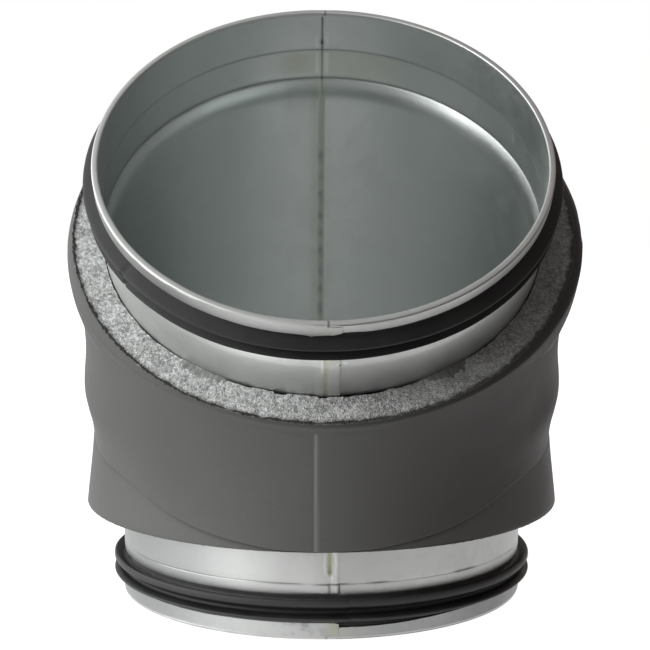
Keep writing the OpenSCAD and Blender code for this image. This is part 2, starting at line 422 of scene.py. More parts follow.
def build_half(name, side):
    """side -1: left half with the lap, 1: right half."""
    hem_h = 5.0
    path = sheet_path(hem_h)
    part = path[:, 3]
    s = np.minimum(path[:, 0], U_MAX - path[:, 0])
    low = path[:, 0] < U_MAX / 2
    # how far the half reaches over the plane of the bend, by part of the sheet
    if side < 0:
        reach = np.select([part == 0, part == 1, part == 2], [5.4, 0.95, -0.02], 5.2)
    else:
        reach = np.select([part == 0, part == 1, part == 2], [5.46, 1.05, 0.02], 0.05)
    # columns: close together at both seams
    near = 8.0
    if side < 0:
        t = np.sort(np.r_[np.linspace(0, 0.28, 8), np.linspace(0.28, 1, 34)[1:], 0.3909, 0.3985])
    else:
        t = np.r_[np.linspace(0, 0.28, 8), np.linspace(0.28, 1, 20)[1:]]
    cols = []  # (kind, value): near the throat, round, near the heel
    for v in t:
        cols.append((0, v))
    free = np.linspace(0, 1, 118)[1:-1]
    for v in free:
        cols.append((1, v))
    for v in t[::-1]:
        cols.append((2, v))
    kind = np.array([c[0] for c in cols])
    val = np.array([c[1] for c in cols])
    K, J = len(path), len(cols)
    layers = []
    fields = {k: [] for k in ("weld", "burn_and_painted_crease_shade", "pale", "smudge", "painted_shade_tone", "matt")}
    for layer in (0, 1):  # 0 air side, 1 outer side
        u = np.repeat(path[:, :1], J, 1)
        r0 = np.repeat(path[:, 1 + layer : 2 + layer], J, 1)
        if layer == 1:
            # the fold's inner side lies behind the nose
            behind = np.where(part == 1, 0.62, 0.0) * np.where(low, 1, -1)
            u = u + behind[:, None]
        # x of each column near a seam, on a scale where the half's own side is positive
        own = near * 1.0
        lim = -reach if side < 0 else reach  # signed in the half's own direction: start of the half
        start = lim[:, None]
        # in own direction, columns go from start (seam edge) to near
        xo = start + (own - start) * val[None, :]
        a0 = np.degrees(np.arcsin(np.clip(xo / r0, -1, 1)))
        an = np.degrees(np.arcsin(own / r0))
        round_a = -90 + an + (180 - 2 * an) * val[None, :]
        ang = np.where(kind[None, :] == 1, round_a, np.where(kind[None, :] == 0, -90 + a0, 90 - a0))
        # own direction is +x for the right half, -x for the left
        x_own = r0 * np.cos(np.radians(ang))
        x = x_own * side
        heel = ang > 0
        off = np.zeros_like(r0)
        groove_x = 0.5 + 1.8 * (1 - smooth(u, 60, 100))  # middle of the weld groove along the lap
        if side < 0:
            lapped = (part == 3)[:, None] * np.ones((1, J))
            ends = smooth(s, 15.35, 16.6)[:, None]
            wide = 9.0 * (1 - smooth(s, 31.0, 34.5))[:, None] * low[:, None]
            step = smooth(x, groove_x - 4.6 - wide, groove_x - 0.9)
            groove = np.exp(-(((x - groove_x) / 0.75) ** 2))
            outer = 0.68 * step - 0.30 * groove - 0.30 * smooth(x, 4.6, 5.2)
            bend = smooth(s, 34.0, 40.0)[:, None]
            inner = 0.64 * smooth(x, -0.06, 0.04) * (1 - bend) + bend * (0.30 * smooth(x, -1.6, -0.1) + 0.34 * smooth(x, -0.06, 0.04))
            if layer == 1:
                off = outer * lapped * ends
            else:
                off = inner * lapped * ends
            # hem: the left half's fold lies over the right half's
            hem = (part == 0)[:, None] * np.ones((1, J))
            off = off + hem * (0.16 * smooth(x, -0.5, 3.0) - 0.16 * smooth(x, 4.7, 5.4)) * (1 if layer == 0 else 0)
        if side > 0 and layer == 0:
            off = off + 0.30 * (1 - smooth(x, 0.05, 1.6)) * ((part == 3) * smooth(s, 34.0, 40.0))[:, None]
        p = place(u, r0, ang if side > 0 else 180 - ang)
        way = np.where(low, 1, -1)[:, None]
        # height of the fold, which isn't the same all round
        if side < 0:
            h_up = 4.7 + 0.5 * np.exp(-(((x + 4) / 3.2) ** 2)) + 0.4 * smooth(-x, 60, 75) - 0.75 * smooth(x, 2.4, 5.3)
            h_low = 5.9 + 0.25 * np.exp(-(((x + 8) / 8) ** 2)) - 0.35 * smooth(x, 3.8, 5.3)
        else:
            h_up = 3.65 + 0.6 * smooth(x, 7, 15)
            h_low = 4.3 + 1.5 * smooth(x, 15, 55)
        h = np.where(low[:, None], h_low, h_up)
        is_hem = (part == 0)[:, None] * np.ones((1, J))
        h = h + noise(p, 11.0, 14) * 0.12 + noise(p, 1.7, 15) * 0.07 + 0.32 * np.exp(-(((x + 4.3) / 0.55) ** 2)) * (~low[:, None]) * (~heel)
        stretch = is_hem * np.maximum(s[:, None] - 1.15, 0) * ((h - 1.15) / (hem_h - 1.15) - 1) * way
        # hand-worked fold: the band isn't perfectly even
        wob = noise(p, 21.0, 5) * 0.07 + noise(p, 7.0, 9) * 0.015
        off = off + wob * is_hem
        # a fine line between the nose and the band
        nose_t = np.zeros(K)
        nose_rows = np.where(part == 1)[0]
        for rows_ in (nose_rows[nose_rows < K // 2], nose_rows[nose_rows > K // 2][::-1]):
            nose_t[rows_] = np.exp(-(((np.arange(len(rows_)) - 2.4) / 0.8) ** 2))
        line = nose_t[:, None] * (0.10 + 0.16 * smooth(x, 2.0, 5.0) + 0.05 * noise(p, 4.0, 16)) * (layer == 0)
        off = off - line
        edge_u = stretch + line * way
        # thin crease at the top of the cone, stronger by the seam, and slow unevenness of the wall
        crease = np.exp(-(((s - 19.8) / 0.17) ** 2))[:, None] * (layer == 1)
        strength = np.where(low[:, None], 1.0, 0.25)
        off = off - crease * strength * (0.07 + 0.09 * np.exp(-(((x - 3) / 7.0) ** 2)) + 0.05 * noise(p, 9.0, 17))
        wall_w = ((part == 3) & (s > 20.5))[:, None] * np.ones((1, J))
        off = off + wall_w * (noise(p, 34.0, 21) * 0.035 + noise(p, 12.0, 22) * 0.006)
        r = r0 + off
        pts = place(u + edge_u, r, ang if side > 0 else 180 - ang)
        layers.append(pts)
        # marks
        weld = np.zeros_like(r0)
        burn_and_painted_crease_shade = np.zeros_like(r0)
        pale = np.zeros_like(r0)
        smudge = np.zeros_like(r0)
        uu = u
        ss = np.minimum(uu, U_MAX - uu)
        lo_c, throat = low[:, None], ~heel
        front = smooth(30.0 - ang, 0, 30)  # the throat's side, fading out past the sides
        if layer == 1:  # outside
            collar = (ss > 15.5) & (ss < 37)
            # upper end: olive groove between pale edges
            up_c = collar & ~lo_c
            weld += up_c * np.exp(-(((x - 0.55) / 1.0) ** 2)) * 0.85 * smooth(ss, 17, 22)
            burn_and_painted_crease_shade += up_c * np.exp(-(((x - 0.6) / 0.55) ** 2)) * (0.30 + 0.25 * noise(p, 4.0, 31)) * smooth(ss, 21.5, 24)
            weld += up_c * throat * np.exp(-(((x - 1.5) / 4.0) ** 2)) * np.exp(-(((ss - 17.5) / 1.8) ** 2)) * 0.6
            pale += up_c * np.exp(-(((x + 0.75) / 0.35) ** 2)) * 0.7 * (ss < 24)
            # painted light: the front of the upper collar paler, less so right of the seam, for the brighter reflection
            # it shows
            pale += up_c * front * 0.62 * (1 - 0.75 * np.exp(-(((x - 18) / 24.0) ** 2)))
            pale += up_c * throat * (np.abs(x - 5.6) < 1.7) * np.exp(-(((ss - 19.3) / 0.35) ** 2)) * 0.8
            burn_and_painted_crease_shade += up_c * throat * np.exp(-(((x - 4.9) / 0.5) ** 2)) * np.exp(-(((ss - 19.6) / 0.4) ** 2)) * 0.9
            # lower end: a lens of weld colour with a light ring, dark marks on the cone, and painted shade along the
            # crease at the cone's top
            lo_m = collar & lo_c
            broken = np.clip(0.75 + 0.9 * noise(p, 15.0, 36), 0.1, 1) * smooth(-x, 4, 10) + np.exp(-(((x - 3.0) / 6.5) ** 4)) + np.clip(noise(p, 10.0, 37) * 2.2 - 0.1, 0, 1) * smooth(x, 8, 16)
            # painted shade in the crease at the top of the cone, broken in places
            burn_and_painted_crease_shade += lo_m * np.exp(-(((ss - 19.75) / 0.34) ** 2)) * 0.62 * np.clip(broken, 0, 1)
            lens = ((x - 2.35) / (1.15 * np.clip(1.25 - np.abs(ss - 27.2) / 6.8, 0.05, 1))) ** 2 + (np.clip(np.abs(ss - 28.2) - 4.9, 0, 9) / 0.9) ** 2
            weld += lo_m * np.exp(-lens * 1.3) * 0.95
            burn_and_painted_crease_shade += lo_m * np.exp(-lens * 2.2) * 0.22
            burn_and_painted_crease_shade += lo_m * np.exp(-(((x - 2.2) / 0.9) ** 2)) * np.exp(-(((ss - 23.9) / 0.5) ** 2)) * 0.35
            pale += lo_m * np.exp(-(((np.sqrt(lens) - 1.75) / 0.35) ** 2)) * 0.5
            pale += lo_m * np.exp(-(((x - 4.3) / 0.55) ** 2)) * 0.45
            for line_x in (2.2, 5.55):
                burn_and_painted_crease_shade += lo_m * np.exp(-(((x - line_x) / 0.28) ** 2)) * smooth(ss, 15.3, 15.8) * (1 - smooth(ss, 19.0, 19.8)) * 0.8
            for dot_x, dot_s in ((6.7, 16.6), (-0.5, 16.5)):
                pale += lo_m * np.exp(-(((x - dot_x) / 0.35) ** 2) - ((ss - dot_s) / 0.35) ** 2) * 0.9
        else:
            # inside, along the heel and throat seams: paired weld spots
            both = np.exp(-(((np.abs(x + 0.1) - 1.9) / 0.75) ** 2))
            spots = np.zeros_like(r0)
            for k_, su in enumerate((13.9, 58.9, 65.6, 71.9, 78.6, 84.6, 90.6, 96.9, 103.1, 109.5, 116.0, 122.4, 128.8, 135.2)):
                spots += (0.75 + 0.25 * math.sin(k_ * 2.3)) * np.exp(-(((U_MAX - uu - su) / 1.25) ** 2))
            burn_and_painted_crease_shade += np.exp(-(((x + 0.25) / 1.05) ** 2)) * spots * 0.42 * heel
            # painted shade: fine dark lines in the steps where the seat and the bend begin
            burn_and_painted_crease_shade += np.exp(-(((ss - 18.0) / 0.85) ** 2)) * (0.60 + 0.16 * noise(p, 14.0, 33))
            burn_and_painted_crease_shade += np.exp(-(((ss - 32.9) / 0.65) ** 2)) * (0.50 + 0.15 * noise(p, 14.0, 34))
            patches = np.zeros_like(r0)
            for su, hw in ((14.0, 2.6), (25.5, 6.0)):
                patches += smooth(hw - np.abs(U_MAX - uu - su), 0, 0.8)
                patches += smooth(hw - np.abs(uu - su), 0, 0.8)
            pale += np.clip(patches, 0, 1) * both * heel * (0.35 + 0.15 * noise(p, 2.5, 35))
            pale += both * heel * 0.16 * (ss > 38)
            inside_up = heel & ~lo_c & (part == 3)[:, None]
            weld += inside_up * np.exp(-(((x + 9) / 7.0) ** 2)) * smooth(ss, 18.5, 22) * (1 - smooth(ss, 28, 33)) * 0.40
            weld += inside_up * smooth(x, 1, 4) * (1 - smooth(x, 26, 38)) * smooth(ss, 18.5, 20) * (1 - smooth(ss, 31, 33)) * 0.22
            pale += inside_up * np.exp(-(((x + 23) / 4.5) ** 2)) * smooth(ss, 18.5, 20) * (1 - smooth(ss, 30, 33)) * 0.20
            weld += np.exp(-(((x + 0.5) / 3.0) ** 2)) * 0.22 * (ss > 17) * heel
            burn_and_painted_crease_shade += inside_up * smooth(x, -17, -14) * (1 - smooth(x, -3, -1)) * smooth(ss, 33.5, 35) * (1 - smooth(ss, 40, 46)) * 0.10
            burn_and_painted_crease_shade += np.exp(-(((x + 0.05) / 0.42) ** 2)) * (0.62 + 0.3 * noise(p, 3.0, 38)) * (ss > 1.5) * heel * np.where(ss < 36, np.where(ss < 17, 1.0, 0.5), 0.05)
            burn_and_painted_crease_shade += np.exp(-(((x + 1.6) / 3.2) ** 2)) * 0.10 * (ss > 36) * heel
        hem_out = (part == 0)[:, None] & (layer == 0)
        burn_and_painted_crease_shade += (part == 1)[:, None] * (layer == 0) * np.exp(-(((x - 1.0) / 0.32) ** 2)) * 0.8
        smudge += hem_out * 0.16
        smudge += hem_out * lo_c * np.exp(-(((x + 9) / 9.0) ** 2)) * throat * 0.8
        weld += hem_out * lo_c * throat * (0.42 * np.exp(-(((x - 3.0) / 2.3) ** 2)) + 0.20 * np.exp(-(((x - 7.0) / 4.5) ** 2)))
        pale += hem_out * lo_c * throat * np.exp(-(((x - 4.0) / 1.3) ** 2)) * smooth(ss, 4.9, 5.2) * 0.8
        weld += hem_out * ~lo_c * throat * np.exp(-(((x - 1.5) / 3.0) ** 2)) * 0.15
        smudge += ((part == 3)[:, None] & (layer == 1)) * 0.06
        # painted shade: darker zinc on the lower collar's left front and on the lower hem, and the more matt outside of
        # the collars
        painted_shade_tone = ((part == 3)[:, None] & (layer == 1)) * lo_c * front * 0.58 * smooth(-x, 27, 50)
        painted_shade_tone = painted_shade_tone + hem_out * lo_c * (0.66 * smooth(-x, 18, 60) * front + 0.08 + (0.50 * smooth(x, -12, 30) + 0.25 * smooth(x, 34, 62)) * front) * np.ones_like(r0)
        if layer == 0:
            # inside: painted light on the right side, and painted shade over the end of the bright flare there
            wall_in = (part == 3)[:, None] * smooth(uu, 60, 90)
            pale += wall_in * smooth(x, 18, 50) * smooth(ss, 18.6, 20.5) * 0.42
            painted_shade_tone = painted_shade_tone + wall_in * heel * smooth(x, 50, 66) * np.exp(-(((ss - 35.2) / 2.4) ** 2)) * 0.62
        matt = (((part >= 2)[:, None] & (layer == 1)) | (part < 2)[:, None]) * (1 + lo_c * 2.4 * smooth(19.6 - ss, 0, 1.6) * (ss > 13))
        for k, v in (("weld", weld), ("burn_and_painted_crease_shade", burn_and_painted_crease_shade), ("pale", pale), ("smudge", smudge), ("painted_shade_tone", painted_shade_tone), ("matt", matt)):
            fields[k].append(np.clip(v.astype(float), 0, 1))
    A, B = layers
    pts = np.concatenate([A, B[::-1]], 0)  # closed loop over the sheet's section
    fld = {k: np.concatenate([v[0], v[1][::-1]], 0) for k, v in fields.items()}
    ni, nj = pts.shape[:2]
    index = np.arange(ni * nj).reshape(ni, nj)
    i0 = np.arange(ni)
    a = index[i0][:, :-1]
    b = index[(i0 + 1) % ni][:, :-1]
    c = index[(i0 + 1) % ni][:, 1:]
    d = index[i0][:, 1:]
    quads = [np.stack([a, b, c, d], -1).reshape(-1, 4)]
    # the two long edges at the seams
    for j, turn in ((0, 1), (nj - 1, -1)):
        k = np.arange(K - 1)
        q = np.stack([index[k, j], index[ni - 1 - k, j], index[ni - 2 - k, j], index[k + 1, j]], -1)
        quads.append(q if turn > 0 else q[:, ::-1])
    quads = np.concatenate(quads)
    if side < 0:
        quads = quads[:, ::-1]
    # the upper nose stays within the part's overall size
    pts[..., 1] = np.maximum(pts[..., 1], -126.66)
    pts[..., 2] = np.minimum(pts[..., 2], 226.53)
    obj = mesh_piece(name, pts.reshape(-1, 3), quads, {k: v.reshape(-1) for k, v in fld.items()}, 42.0)
    obj.data.materials.append(STEEL)
    return obj


# ------------------------------------------------------------------ seals
def chaikin(poly, times=2):
    p = np.array(poly, float)
    for _ in range(times):
        q = np.roll(p, -1, 0)
        p = np.stack([0.75 * p + 0.25 * q, 0.25 * p + 0.75 * q], 1).reshape(-1, 2)
    return p


def build_seal(name, upper):
    b = SEAT_R + 0.62
    tip = 83.6
    root = [(b, 2.0), (b + 0.95, 2.0), (b + 0.98, 5.2), (b + 1.2, 5.7), (b + 2.0, 6.1)]
    if upper:  # both lips end in a thin edge, the second one a little lower
        profile = root + [
            (tip - 1.1, 7.2), (tip - 0.3, 7.7), (tip, 8.15), (tip - 0.1, 8.6), (tip - 0.7, 8.9), (tip - 2.0, 8.8), (b + 2.1, 8.8), (b + 1.5, 9.4),
            (b + 1.4, 10.4), (b + 2.1, 11.1), (tip - 1.4, 12.3), (tip - 0.6, 12.75), (tip - 0.35, 13.1), (tip - 0.6, 13.4), (tip - 1.5, 13.9),
            (tip - 2.6, 14.0), (b + 2.0, 13.8), (b + 1.2, 14.3), (b + 0.7, 15.2), (b, 15.3),
        ]
    else:
        profile = root + [
            (tip - 0.9, 7.3), (tip - 0.25, 7.6), (tip, 7.95), (tip - 0.1, 8.4), (tip - 0.6, 8.7), (tip - 2.0, 9.2), (b + 2.2, 9.0), (b + 1.5, 9.6),
            (b + 1.5, 10.5), (b + 2.2, 11.1), (tip - 1.0, 12.0), (tip - 0.3, 12.5), (tip, 13.1), (tip - 0.05, 14.5), (tip - 0.7, 15.1),
            (tip - 1.6, 14.5), (b + 2.6, 13.5), (b + 1.9, 13.1), (b + 1.0, 13.2), (b + 0.5, 13.6), (b, 13.7),
        ]
    prof = chaikin(profile, 2)
    n = 520
    ang = np.linspace(-180, 180, n, endpoint=False)
    s = np.repeat(prof[:, 1:2], n, 1)
    r = np.repeat(prof[:, 0:1], n, 1)
    A = np.repeat(ang[None, :], len(prof), 0)
    p = place(s, r, A)
    seed = 40 if upper else 50
    lip = smooth(r, b + 1.2, tip)  # only the lips move
    s = s + lip * (noise(p, 34.0, seed) * 0.30 + noise(p, 11.0, seed + 1) * 0.08)
    r = r + lip * (noise(p, 40.0, seed + 2) * 0.16 + noise(p, 7.0, seed + 3) * 0.03)
    # the splice where the strip's two ends meet: a thin gap, and one end sits a little higher
    splice = -142.0 if upper else -83.5
    d = (ang - splice + 180) % 360 - 180
    step = np.where(d > 0, 1, 0) * np.exp(-np.abs(d) / 9.0)
    s = s + lip * step[None, :] * (0.35 if upper else 0.2)
    r = r - smooth(r, b + 1.0, b + 1.6) * (0.55 * np.exp(-((d / 0.35) ** 2)))[None, :]
    # painted highlight along the lip tips, and on the lower seal's second lip
    edge = np.clip(smooth(r, tip - 0.5, tip - 0.1) * np.exp(-(((s - 8.2) / 0.5) ** 2)) + smooth(r, tip - 0.5, tip - 0.1) * np.exp(-(((s - 13.0) / 0.5) ** 2)), 0, 1)
    if not upper:
        edge = np.maximum(edge, smooth(r, tip - 1.0, tip - 0.4) * smooth(s, 12.2, 12.8) * 0.9)
    u = U_MAX - s if upper else s
    obj = grid_piece(name, place(u, r, A), True, True, {"edge": edge}, 60.0, flip=upper)
    obj.data.materials.append(RUBBER)
    return obj


# ------------------------------------------------------------------ foam jacket
def joint_low(w):
    """Position of the lower joint on the spine, by the angle w from the throat."""
    return LEG + 2.7925 * table(w, [(0, 0.95), (9, 1.3), (18, 2.8), (28, 5.1), (39, 8.6), (47, 10.9), (55, 11.6), (70, 11.6), (90, 11.4), (135, 11.8), (180, 12.0)])


def joint_up(w):
    return LEG + 2.7925 * table(w, [(0, 41.3), (10, 41.9), (18, 43.0), (27, 44.0), (33, 44.1), (40, 43.2), (46, 41.9), (52, 39.8), (60, 36.6), (70, 33.2), (80, 31.6), (95, 31.0), (135, 31.5), (180, 32.0)])


END_LOW, END_UP = 35.7, 33.5  # cut edges at the skin, from each rim


def skin_low(u, w):
    t = smooth(u, 34.0, 66.0)
    side = 93.85 - 3.15 * (0.35 * t + 0.65 * np.clip((u - 36) / 30, 0, 1))
    return side - 0.25 * (1 - smooth(w, 20, 60))


def skin_mid(u, w):
    side = table(u, [(30, 90.3), (64, 90.45), (71, 90.7), (77, 91.4), (83, 92.5), (88.5, 93.1), (93, 92.8), (98, 92.15), (104, 91.4), (110, 90.95), (116, 90.75), (122, 90.7), (130, 90.75), (140, 90.9)])
    front = table(u, [(30, 93.9), (36, 94.0), (50, 93.7), (75, 93.0), (100, 92.6), (125, 92.5), (140, 92.6), (160, 92.8)])
    k = smooth(w, 38, 82)
    return front * (1 - k) + side * k


def skin_up(u, w):
    side = table(u, [(100, 90.5), (118, 90.7), (124, 90.9), (131, 91.4), (138, 92.7), (146, 93.8), (154, 94.0), (165, 94.0)])
    front = table(u, [(100, 93.0), (140, 93.3), (149, 93.5), (154, 93.9), (165, 93.9)])
    k = smooth(w, 30, 75)
    return front * (1 - k) + side * k


def build_gore(name, which):
    n = {"low": 720, "mid": 720, "up": 1080}[which]
    ang = np.linspace(-180, 180, n, endpoint=False) + 180.0 / n
    w = np.abs((ang + 90 + 180) % 360 - 180)
    left = smooth(-np.cos(np.radians(ang)), -0.6, 0.6)  # 1 on the left side
    jl, ju = joint_low(w), joint_up(w)
    across = TUBE_R * np.cos(np.radians(ang))
    inner = TUBE_R + 0.12 + 0.72 * smooth(across, -2.4, -1.6) * (1 - smooth(across, 5.3, 6.0))  # room for the lap
    rows_u, rows_r, cut, glue, kind = [], [], [], [], []

    def row(u, r, c=0.0, k=0):
        rows_u.append(np.broadcast_to(u, n).astype(float))
        rows_r.append(np.broadcast_to(r, n).astype(float))
        cut.append(np.full(n, float(c)))
        kind.append(k)

    if which == "low":
        e = END_LOW
        top = jl
        inner_e = 36.9
        r_edge = skin_low(np.full(n, e), w)
        # cut face from the sheet to the skin
        for t in np.linspace(0, 1, 18):
            row(inner_e + (e - inner_e) * t, inner + (r_edge - 0.5 - inner) * t, 1, 1)
        for t in (0.25, 0.6, 1.0):
            row(e + 0.45 * t**1.6, r_edge - 0.5 + 0.5 * math.sin(t * math.pi / 2), 1 - t, 2)
        for t in np.r_[0.04, 0.1, np.linspace(0.18, 0.94, 22), 0.985, 1.0]:
            u = e + 0.45 + (top - 0.08 - e - 0.45) * t
            r = skin_low(u, w)
            r = r - 0.35 * np.clip((t - 0.97) / 0.03, 0, 1) ** 2 * smooth(w, 0, 60)
            row(u, r, 0, 3)
        r_top = rows_r[-1]
        for t in np.linspace(0, 1, 6)[1:]:
            row(top - 0.03, r_top + (inner - r_top) * t, 0.4, 4)
        for t in np.linspace(0, 1, 8)[1:-1]:
            row(top - 0.03 + (inner_e - top + 0.03) * t, inner, 0, 5)
    elif which == "mid":
        lo, hi = jl, ju
        step = 1 - smooth(w, 46, 66)  # where the middle gore stands proud at its lower edge
        for t in (0.0, 0.25, 0.5, 0.75, 1.0):
            # rounded lower edge
            r_m = skin_mid(lo, w)
            g = math.radians(90 * t)
            row(lo + 0.03 + (0.25 + 0.55 * step) * (1 - math.cos(g)), r_m - (0.15 + 0.55 * step) * (1 - math.sin(g)), 0, 3)
        base = lo + 0.03 + 0.25 + 0.55 * step
        for t in np.r_[0.012, 0.03, 0.055, np.linspace(0.085, 0.93, 56), 0.955, 0.975, 0.99, 1.0]:
            u = base + (hi - 0.12 - base) * t
            row(u, skin_mid(u, w), 0, 3)
        r_top = rows_r[-1] - 0.12
        row(hi - 0.03, r_top, 0, 3)
        for t in np.linspace(0, 1, 6)[1:]:
            row(hi - 0.03, r_top + (inner - r_top) * t, 0.4, 4)
        for t in np.linspace(0, 1, 10)[1:-1]:
            row(hi - 0.03 + (lo + 0.06 - hi) * t, inner, 0, 5)
        r_low = rows_r[0]
        for t in np.linspace(0, 1, 6)[:-1]:
            row(lo + 0.03, inner + (r_low - inner) * t, 0.4, 4)
    else:
        e = U_MAX - END_UP
        lo = ju
        front = 1 - smooth(w, 25, 70)
        side_cut = np.where(True, 1.0, 0.0)
        drop = 1.0 * front + (3.1 - 0.5 * left) * (1 - front)  # how much the cut edge lies inside the skin's bulge
        length = 2.6 * front + (3.8 + 5.7 * left) * (1 - front)
        asym = (0.5 - left) * 1.0
        inner_e = U_MAX - 37.0
        gap = 0.22 + 0.75 * (1 - 0.7 * smooth(w, 18, 40)) * np.clip(noise(place(np.full(n, inner_e), 80.0, ang), 3.6, 71) * 1.8 + 0.1, 0, 1)
        start = lo + 0.04
        for t in (0.0, 0.3, 0.65, 1.0):
            r_m = skin_up(lo, w)
            g = math.radians(90 * t)
            proud = 0.30
            row(start + proud * (1 - math.cos(g)), r_m - proud * (1 - math.sin(g)), 0, 3)
        base = start + 0.3
        bulge_end = e
        for t in np.r_[0.01, 0.03, np.linspace(0.06, 0.985, 34), 1.0]:
            u = base + (bulge_end - base) * t
            r = skin_up(u, w) + asym * smooth(u, 122, 150) * smooth(w, 50, 80)
            k = np.clip((u - (e - length)) / length, 0, 1)
            r = r - drop * k ** (2.2 + 0.6 * (1 - left) * (1 - front))
            row(u, r, 0, 3)
        r_edge = rows_r[-1]
        for t in np.linspace(0, 1, 28)[1:]:
            row(e + (inner_e - e) * t, r_edge + (inner + gap - r_edge) * t, smooth(t, 0.0, 0.05), 1)
        for t in np.linspace(0, 1, 8)[1:-1]:
            row(inner_e + (lo - inner_e) * t, inner + gap * (1 - t) ** 3, 0, 5)
        r_low = rows_r[0]
        for t in np.linspace(0, 1, 7)[:-1]:
            row(start, inner + (r_low - inner) * t, 0.4, 4)
    U, R = np.array(rows_u), np.array(rows_r)
    C, kind = np.array(cut), np.array(kind)
    A = np.repeat(ang[None, :], len(U), 0)
    P = place(U, R, A)
    skin = (kind == 3)[:, None]
    # hand-made surface: slow waves and a fine unevenness of the skin
    wave = noise(P, 38.0, 61) * 0.22 + noise(P, 14.0, 62) * 0.07
    fade = np.ones_like(U)
    R = R + skin * wave * fade
    # glue seam down the throat of the jacket
    x = P[..., 0]
    seam = np.exp(-(((x + 2.75 + noise(P, 12.0, 64) * 0.25) / 0.46) ** 2)) * (w[None, :] < 40)
    G = seam * skin * (which == "mid")
    R = R + G * (-0.12 + 0.1 * noise(P, 1.8, 65))
    P = place(U, R, A)
    grain = np.full_like(U, 0.5)
    face = (kind == 1)[:, None] * np.ones_like(U)
    if which in ("up", "low"):
        seed = 81 if which == "up" else 91
        f1, f2, own = grains(P, 1.25, seed)
        g1, g2, own2 = grains(P, 0.75, seed + 5)
        lump = np.clip(1 - f1 * 1.25, -0.3, 1) * 0.62 + np.clip(1 - g1 * 1.2, -0.2, 1) * 0.26 + noise(P, 4.5, seed + 9) * 0.22
        keep = face * smooth(C, 0.3, 1.0)
        sign = -1 if which == "low" else 1
        U = U + sign * keep * (lump - 0.3) * 0.95
        grain = np.clip(0.12 + 0.85 * np.clip(lump + 0.1, 0, 1) + 0.35 * (own - 0.5), 0, 1)
        # painted shadow: the cut face darkened in a ragged band along its outer edge
        first = np.where(kind == 1)[0][0 if which == "up" else -1]
        depth = np.abs(np.arange(len(U)) - first)[:, None] + noise(P, 2.2, seed + 21) * 1.3
        grain = np.where(face > 0, grain - 1.9 * np.exp(-((depth / 2.5) ** 2)), grain)
        # crumbs along the outer edge of the cut
        near_edge = np.exp(-(((np.arange(len(U))[:, None] - np.where(kind == 1)[0][0 if which == "up" else -1]) / 1.6) ** 2)) * ((kind == 1) | (kind == 3) | (kind == 2))[:, None]
        crumb = np.clip(1 - grains(P, 1.6, seed + 13)[0] * 1.3, 0, 1) * near_edge
        R = R + crumb * 0.75 - near_edge * 0.22
        P = place(U, R, A)
    # painted shade, growing towards the right side
    painted_shade_right = smooth(P[..., 0], -18.0, 58.0) * (0.5 if which == "low" else 1.0)
    rim = np.zeros_like(U)
    if which == "up":  # painted shade on the skin's rolled edge beside the cut, stronger towards the right
        width = 2.2 + 2.2 * smooth(w, 20, 70)
        rim = skin * (0.25 + 0.75 * smooth(P[..., 0], -40, 60)) * (1 - smooth(U_MAX - END_UP - U, 0.3, width[None, :]))
    if which == "low":  # painted shadow under the middle gore's proud lower edge: a thin dark line and a softer band below it
        rim = skin * (0.55 * (1 - smooth(jl - U, 0.2, 1.2)) + 0.45 * (1 - smooth(jl - U, 0.5, 4.5))) * (1 - smooth(w, 55, 80))
    P[..., 0] = np.clip(P[..., 0], -93.98, 93.98)
    obj = grid_piece(name, P, True, True, {"cut": C, "glue": G, "grain": grain, "painted_shade_right": painted_shade_right, "rim": rim}, 50.0, flip=(which == "low"))
    obj.data.materials.append(FOAM)
    return obj


pieces = []
for name, side, node in (("duct_shell_left", -1, "duct_half_left"), ("duct_shell_right", 1, "duct_half_right")):
    o = build_half(name, side)
    pieces.append((o, node, "galvanised_sheet", False))
for name, up, node in (("lip_seal_lower", False, "seal_lower"), ("lip_seal_upper", True, "seal_upper")):
    pieces.append((build_seal(name, up), node, "seal_rubber", False))
for name, which, node in (("jacket_gore_lower", "low", "foam_gore_lower"), ("jacket_gore_middle", "mid", "foam_gore_middle"), ("jacket_gore_upper", "up", "foam_gore_upper")):
    pieces.append((build_gore(name, which), node, "foam", True))

for obj, node, slot, soft in pieces:
    # all faces look outwards
    mesh = obj.data
    n_v = len(mesh.vertices)
    co = np.empty(n_v * 3, np.float32)
    mesh.vertices.foreach_get("co", co)
    mesh.calc_loop_triangles()
    tri = np.empty(len(mesh.loop_triangles) * 3, np.int32)
    mesh.loop_triangles.foreach_get("vertices", tri)
    v = co.reshape(-1, 3).astype(float)[tri.reshape(-1, 3)]
    volume = np.einsum("ij,ij->i", v[:, 0], np.cross(v[:, 1], v[:, 2])).sum() / 6
    if volume < 0:
        mesh.flip_normals()
    print(f"{obj.name}: {len(mesh.loop_triangles)} triangles, {abs(volume) * 1e6:.1f} cm3, flipped {volume < 0}")
    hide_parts(node)
    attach(obj, "root")

# ------------------------------------------------------------------ floor, light and camera
floor_mesh = bpy.data.meshes.new("floor")
floor_mesh.from_pydata([(-6, -6, 0), (6, -6, 0), (6, 6, 0), (-6, 6, 0)], [], [(0, 1, 2, 3)])
floor = bpy.data.objects.new("floor", floor_mesh)
floor.location.z = -0.0002
bpy.context.scene.collection.objects.link(floor)
fm = bpy.data.materials.new("floor_paint")
fm.use_nodes = True
fb = fm.node_tree.nodes["Principled BSDF"]
fb.inputs["Base Color"].default_value = (0.22, 0.22, 0.22, 1)
fb.inputs["Roughness"].default_value = 0.9
fb.inputs["Emission Color"].default_value = (1, 1, 1, 1)
# the pale paper glows as a light round the part, weaker under the bore, and falls off towards the front and the sides
ft = fm.node_tree


